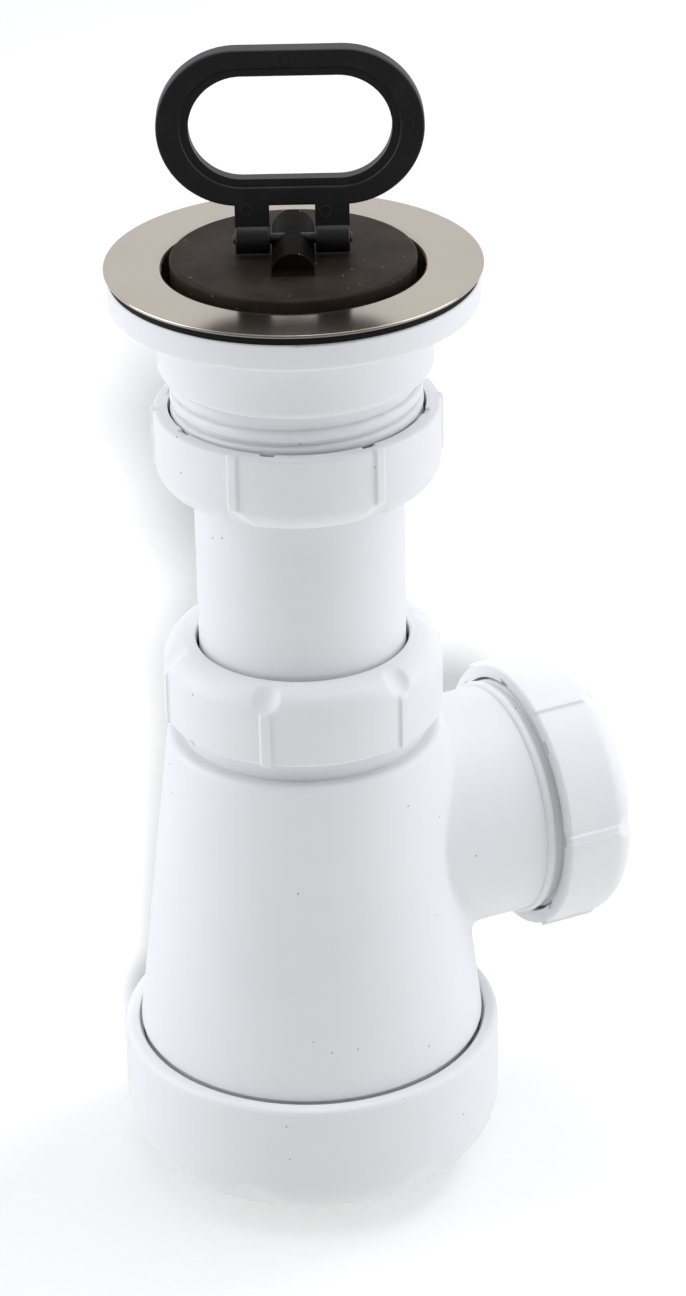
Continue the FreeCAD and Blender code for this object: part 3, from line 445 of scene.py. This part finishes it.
def cupSurface():
    # the cup's section from the middle of its foot over the rim to the middle of its floor, carried
    # round the axis, with six broad soft hollows in the lower corner
    c = cupForm
    inner = c["radius"] - c["corner"]
    low = c["footHeight"] + c["corner"]
    well = c["well"] - c["wellRound"]
    edge, brim = c["edge"], c["brim"]
    foot = np.concatenate([
        run((c["pole"], 0), (c["foot"] - 0.6, 0), 8),
        arc((c["foot"] - edge, edge), edge, -90, 0, 5),
        run((c["foot"], 0.8), (c["foot"], c["footHeight"]), 4),
        run((c["foot"], c["footHeight"]), (inner, c["footHeight"]), 4),
    ])
    wall = np.concatenate([
        arc((inner, low), c["corner"], -90, 0, 40),
        run((c["radius"], low + 0.5), (c["radius"], c["height"] - brim), 16),
    ])
    inside = np.concatenate([
        arc((c["radius"] - brim, c["height"] - brim), brim, 0, 90, 10),
        arc((c["mouth"] + edge, c["height"] - edge), edge, 90, 180, 6),
        run((c["mouth"], c["height"] - 0.7), (c["mouth"], c["height"] - brim), 2),
        run((c["mouth"], c["height"] - brim), (c["bore"], c["height"] - 2.0), 2),
        run((c["bore"], c["height"] - 2.0), (c["bore"], c["ledge"]), 6),
        run((c["bore"], c["ledge"]), (c["well"], c["ledge"]), 3),
        run((c["well"], c["ledge"]), (c["well"], c["floor"] + c["wellRound"]), 3),
        arc((well, c["floor"] + c["wellRound"]), c["wellRound"], 0, -90, 12),
        run((well - 0.5, c["floor"]), (c["pole"], c["floor"]), 6),
        np.array([[c["pole"], c["floor"]]]),
    ])
    section = np.concatenate([foot, wall, inside])
    theta = np.linspace(0, 2 * np.pi, c["steps"], endpoint=False)[None, :]
    radius = np.repeat(section[:, :1], c["steps"], axis=1)
    height = np.repeat(section[:, 1:], c["steps"], axis=1)
    skin = slice(len(foot), len(foot) + len(wall))  # only the outer wall is hollowed
    radius[skin], height[skin] = hollowed(radius[skin], height[skin], theta, c["hollows"], (inner, low),
                                          c["corner"], c["cutter"], c["hollow"], c["lean"], c["soft"])
    return turned(np.stack([radius * np.cos(theta), radius * np.sin(theta), height], -1), c["turn"])


cupMoulding = meshFromGrid("cup_moulding", cupSurface())
finishPiece(cupMoulding, cupPlastic, "cup")
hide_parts("bottom_cup")
print("nuts and cup moulded")


threadForm = {"lead": 3.0, "halfWidth": 1.2, "sunk": 0.35, "steps": 96, "fade": 0.1}
threads = {  # root radius, first and last height, start in degrees, ridge height, cut inwards or not
    "waste_thread": (22.9, 158.8, 170.6, 252, 0.9, False),
    "neck_thread": (22.9, 102.0, 110.4, 40, 0.9, False),
    "outlet_thread": (22.9, 45.0, 54.2, 90, 0.9, False),
    "skirt_thread": (33.0, 19.2, 27.2, 10, 0.85, False),
    "cup_thread": (34.2, 20.0, 26.2, 200, 0.25, True),
}


def threadRidge(root, start, end, phase, height, inward):
    # a helix: each point stands at angle a and height start + lead * a / turn, and the ridge's section
    # is a rounded hump over the root radius, closed under it; the hump runs out at both ends
    t = threadForm
    turns = (end - start) / t["lead"]
    a = np.linspace(0, turns * 2 * np.pi, int(turns * t["steps"]))
    level = fade(np.minimum(a, a[-1] - a), 0, t["fade"] * 2 * np.pi)
    across = np.linspace(-1, 1, 11)
    rise = height * np.sqrt(1 - np.abs(across) ** 3.6)
    rise = np.concatenate([rise, [-t["sunk"], -t["sunk"]]])
    shift = np.concatenate([across, [0.9, -0.9]]) * t["halfWidth"]
    lift = np.where(rise > 0, rise[None, :] * level[:, None], rise[None, :])
    radius = root + (-lift if inward else lift)
    angle = a[:, None] + np.radians(phase)
    z = start + t["lead"] * a[:, None] / (2 * np.pi) + shift[None, :]
    return np.stack([radius * np.cos(angle), radius * np.sin(angle), z], -1)


for name, body, material in (
    ("waste_thread", "waste", wastePlastic), ("neck_thread", "trap", bodyPlastic),
    ("outlet_thread", "trap", bodyPlastic), ("skirt_thread", "trap", bodyPlastic),
    ("cup_thread", "cup", cupPlastic),
):
    grid = threadRidge(*threads[name])
    if name == "outlet_thread":
        grid = alongOutlet(grid)
    inward = threads[name][-1]
    finishPiece(meshFromGrid(name, grid, flip=not inward), material, body)
print("threads cut")


# from here on, the small forms that are too fine for the CAD model
handleForm = {  # mm and degrees; a mark is placed by its distance along the pin and its height
    "turn": -25.0, "pinHeight": 197.4, "knuckleRise": 0.45, "knuckleRadius": 3.15, "lugNear": 4.2,
    "lugFar": 10.5, "edge": 0.35, "face": -1.8, "markRadius": 1.05, "markWidth": 0.12, "markRise": 0.09,
    "marks": [(-1.5, 232.4), (-22.5, 220.6), (21.3, 219.6), (-8.3, 203.8), (6.1, 203.2)],
}


def handleFrame(along, across, height):
    # a point of the handle: along its pin, across its thickness and up, turned with the handle
    points = np.stack(np.broadcast_arrays(along, across, height), -1)
    return turned(points, handleForm["turn"])


def knuckleSurface(side):
    # a round barrel along the pin, its two end edges rounded by a quarter circle
    h = handleForm
    corner = np.linspace(0, np.pi / 2, 6)
    inset = h["edge"] * (1 - np.sin(corner))
    depth = h["edge"] * (1 - np.cos(corner))
    along = np.concatenate([h["lugNear"] + depth, h["lugFar"] - depth[::-1]])
    radius = h["knuckleRadius"] - np.concatenate([inset, inset[::-1]])
    a = np.linspace(0, 2 * np.pi, 96, endpoint=False)[None, :]
    height = h["pinHeight"] + h["knuckleRise"] + radius[:, None] * np.sin(a)
    return handleFrame(side * along[:, None], radius[:, None] * np.cos(a), height)


def ejectorMark(along, height):
    # the witness of an ejector pin: a hair-thin raised ring, its section a flat ellipse half sunk in
    # the face
    h = handleForm
    a = np.linspace(0, 2 * np.pi, 48, endpoint=False)[:, None]
    b = np.linspace(0, 2 * np.pi, 10, endpoint=False)[None, :]
    radius = h["markRadius"] + h["markWidth"] * np.cos(b)
    across = h["face"] - h["markRise"] * np.sin(b)
    return handleFrame(along + radius * np.cos(a), across, height + radius * np.sin(a))


for side, name in ((-1, "left_knuckle"), (1, "right_knuckle")):
    finishPiece(meshFromGrid(name, knuckleSurface(side), flip=side < 0), handleNylon, "handle")
for count, (along, height) in enumerate(handleForm["marks"]):
    mark = meshFromGrid(f"ejector_mark_{count}", ejectorMark(along, height), loop=True)
    finishPiece(mark, handleNylon, "handle")

flashSlivers = {  # radius, azimuth in degrees, height, length, width and how far it stands off, in mm
    "neck_nut_flash": (26.9, -131.0, 101.0, 2.2, 0.35, 0.1),
    "neck_nut_curl": (26.9, -168.0, 101.1, 2.6, 0.4, 0.2),
    "waste_thread_flash": (23.5, -141.0, 167.8, 1.8, 0.4, 0.2),
    "waste_thread_step": (23.6, -72.0, 169.4, 1.6, 0.35, 0.1),
}


def flashSliver(radius, azimuth, height, length, width, stand):
    # a curl of flash left at a parting edge: a strip that narrows to both ends and leans off the wall,
    # each ring of its sweep a flat lozenge
    share = np.linspace(0, 1, 9)[:, None]
    swell = np.sin(np.pi * np.clip(share, 0.04, 0.96))
    a = np.linspace(0, 2 * np.pi, 8, endpoint=False)[None, :]
    around = np.radians(azimuth) + (share - 0.5) * length / radius
    out = radius + stand * share + 0.5 * width * swell * np.cos(a)
    up = height + 0.18 * length * np.sin(4 * share) + 0.35 * width * swell * np.sin(a)
    return np.stack([out * np.cos(around), out * np.sin(around), up], -1)


for name, body, material in (
    ("neck_nut_flash", "neck_nut", nutPlastic), ("neck_nut_curl", "neck_nut", nutPlastic),
    ("waste_thread_flash", "waste", wastePlastic), ("waste_thread_step", "waste", wastePlastic),
):
    finishPiece(meshFromGrid(name, flashSliver(*flashSlivers[name])), material, body)


def bandSurface(points, steps=360):
    # a closed section, given as radius and height, carried once round the trap's axis
    section = np.array(points)
    a = np.linspace(0, 2 * np.pi, steps, endpoint=False)[None, :]
    radius, height = section[:, :1], section[:, 1:]
    return np.stack([radius * np.cos(a), radius * np.sin(a), height + 0 * a], -1)


edgeForm = {  # mm: the body's turned-in foot, then the steel's rolled rim
    "footInner": 33.2, "footRadius": 34.38, "footBottom": 30.58, "footTop": 31.6, "footRound": 0.12,
    "rimRadius": 34.8, "rimHeight": 192.55, "rimRound": 0.33, "rimInner": 34.3, "rimHalf": 0.15,
}
e = edgeForm
# the turned-in edge at the body's foot leaves only a hair line over the cup
footEdge = np.concatenate([
    run((e["footInner"], e["footBottom"]), (e["footRadius"] - 0.18, e["footBottom"]), 2),
    arc((e["footRadius"] - 0.13, e["footBottom"] + e["footRound"]), e["footRound"], -90, 0, 4),
    run((e["footRadius"], e["footTop"] - 0.6), (e["footRadius"], e["footTop"] - 0.1), 2),
    np.array([[e["footRadius"] - 0.18, e["footTop"]], [e["footInner"], e["footTop"]]]),
])
finishPiece(meshFromGrid("body_foot_edge", bandSurface(footEdge), loop=True), bodyPlastic, "trap")
# the sheet's cut edge, rolled to a bright half round by the press
rolledEdge = np.concatenate([
    arc((e["rimRadius"], e["rimHeight"]), e["rimRound"], -90, 90, 9),
    [[e["rimInner"], e["rimHeight"] + e["rimHalf"]]],
    [[e["rimInner"], e["rimHeight"] - e["rimHalf"]]],
])
finishPiece(meshFromGrid("seat_rolled_edge", bandSurface(rolledEdge), loop=True), seatSteel, "waste")
print("knuckles, marks and edges formed")


studio = {  # places in mm, angles in degrees, the paper's half width and the trap's middle in metres
    "target": (7.0, -3.3, 112.4), "camera": (-282.9, -625.5, 469.1), "roll": -1.122, "lens": 111.11,
    "paper": "#B0B0B0", "fibre": "#ADADAD", "reach": 6.0, "middle": 0.11,
    "air": "#FBFCFF", "skyBack": 0.84, "skyFront": 0.21,
}


def paperFloor():
    # a sheet of studio paper, one flat quad far wider than the view
    mesh = bpy.data.meshes.new("studio_floor")
    reach = studio["reach"]
    corners = [(-reach, -reach, 0), (reach, -reach, 0), (reach, reach, 0), (-reach, reach, 0)]
    mesh.from_pydata(corners, [], [(0, 1, 2, 3)])
    floor = bpy.data.objects.new("studio_floor", mesh)
    bpy.context.collection.objects.link(floor)
    material, tree, point = newMaterial("studioPaper")
    fibre = addNode(tree, "ShaderNodeTexNoise", {"Scale": 1 / 2.0, "Detail": 3.0}, {"Vector": point})
    colour = addNode(tree, "ShaderNodeMix", {
        "data_type": "RGBA", 6: hexToLinear(studio["paper"]), 7: hexToLinear(studio["fibre"]),
    }, {0: fibre.outputs["Fac"]})
    closeMaterial(tree, {"Roughness": 0.9, "Specular IOR Level": 0.0}, {"Base Color": colour.outputs[2]})
    mesh.materials.append(material)
    floor.visible_glossy = False  # keeps the black and steel parts from mirroring the paper
    return floor


def viewAxes():
    # the camera's own right, up and forward, rolled about the line of sight
    eye, aim = np.array(studio["camera"]), np.array(studio["target"])
    forward = (aim - eye) / np.linalg.norm(aim - eye)
    right = np.cross(forward, [0, 0, 1.0])
    right /= np.linalg.norm(right)
    up = np.cross(right, forward)
    roll = np.radians(studio["roll"])
    return (np.cos(roll) * right + np.sin(roll) * up, -np.sin(roll) * right + np.cos(roll) * up, forward)


def studioCamera():
    # the camera stands where the photograph was taken from and looks along the fitted axes
    right, up, forward = viewAxes()
    data = bpy.data.cameras.new("studio_camera")
    data.lens, data.sensor_width = studio["lens"], 36.0
    data.clip_start, data.clip_end = 0.05, 20.0
    camera = bpy.data.objects.new("studio_camera", data)
    bpy.context.collection.objects.link(camera)
    matrix = np.eye(4)
    matrix[:3, 0], matrix[:3, 1], matrix[:3, 2] = right, up, -forward
    matrix[:3, 3] = np.array(studio["camera"]) * mm
    camera.matrix_world = Matrix(matrix.tolist())
    bpy.context.scene.camera = camera


softBoxes = {  # metres to the right of the view, towards the camera and up; width, height, watts, shade
    "leftBox": (-1.0, 0.05, 0.55, 0.9, 1.3, 6.5, "#F6F8FF"),
    "rightBox": (1.0, 0.05, 0.55, 0.9, 1.3, 5.3, "#F6F8FF"),
    "topBox": (0.1, -0.1, 1.35, 1.1, 1.1, 7.5, "#FBFCFF"),
}
paperLights = {  # the same axes; kind, strength, softness as an angle or a radius
    "shadowSun": (0.085, 1.37, 0.82, "SUN", 8.0, np.radians(4.2)),
    "contactLamp": (0.6, -0.45, 0.75, "POINT", 13.0, 0.16),
}


def facingTrap(place):
    # the matrix of a light at this place that looks at the middle of the trap
    away = place - np.array([0, 0, studio["middle"]])
    away /= np.linalg.norm(away)
    level = np.cross([0, 0, 1.0], away)
    level /= np.linalg.norm(level)
    matrix = np.eye(4)
    matrix[:3, 0], matrix[:3, 1], matrix[:3, 2] = level, np.cross(away, level), away
    matrix[:3, 3] = place
    return Matrix(matrix.tolist())


def placeLights(floor):
    # each light stands on axes that turn with the view; the two that throw the shadows light the paper
    # alone, so the front of the trap stays a shade darker than its sides
    paper = bpy.data.collections.new("paper")
    paper.objects.link(floor)
    right = viewAxes()[0]
    side = np.array([right[0], right[1], 0]) / np.hypot(right[0], right[1])
    front = np.array([side[1], -side[0], 0])

    def addLight(name, kind, across, near, height):
        data = bpy.data.lights.new(name, kind)
        lamp = bpy.data.objects.new(name, data)
        bpy.context.collection.objects.link(lamp)
        lamp.matrix_world = facingTrap(side * across + front * near + np.array([0, 0, height]))
        return lamp

    for name, (across, near, height, width, tall, watts, shade) in softBoxes.items():
        data = addLight(name, "AREA", across, near, height).data
        data.shape, data.size, data.size_y = "RECTANGLE", width, tall
        data.energy, data.color = watts, hexToLinear(shade)[:3]
    for name, (across, near, height, kind, strength, softness) in paperLights.items():
        lamp = addLight(name, kind, across, near, height)
        lamp.data.energy = strength
        setattr(lamp.data, "angle" if kind == "SUN" else "shadow_soft_size", softness)
        lamp.light_linking.receiver_collection = paper
    # the room is bright behind and beside the trap and dim behind the camera
    world = bpy.data.worlds.new("studio_air")
    world.use_nodes = True
    tree = world.node_tree
    heading = addNode(tree, "ShaderNodeTexCoord").outputs["Generated"]
    toward = addNode(tree, "ShaderNodeVectorMath", {"operation": "DOT_PRODUCT", 1: front.tolist()},
                     {0: heading})
    glow = addNode(tree, "ShaderNodeMapRange", {
        "interpolation_type": "SMOOTHSTEP", "From Min": -0.7, "From Max": 0.9,
        "To Min": studio["skyBack"], "To Max": studio["skyFront"],
    }, {"Value": toward.outputs["Value"]})
    tree.nodes["Background"].inputs["Color"].default_value = hexToLinear(studio["air"])
    tree.links.new(glow.outputs[0], tree.nodes["Background"].inputs["Strength"])
    bpy.context.scene.world = world


placeLights(paperFloor())
studioCamera()
bpy.context.scene.view_settings.view_transform = "Standard"
print("studio set")
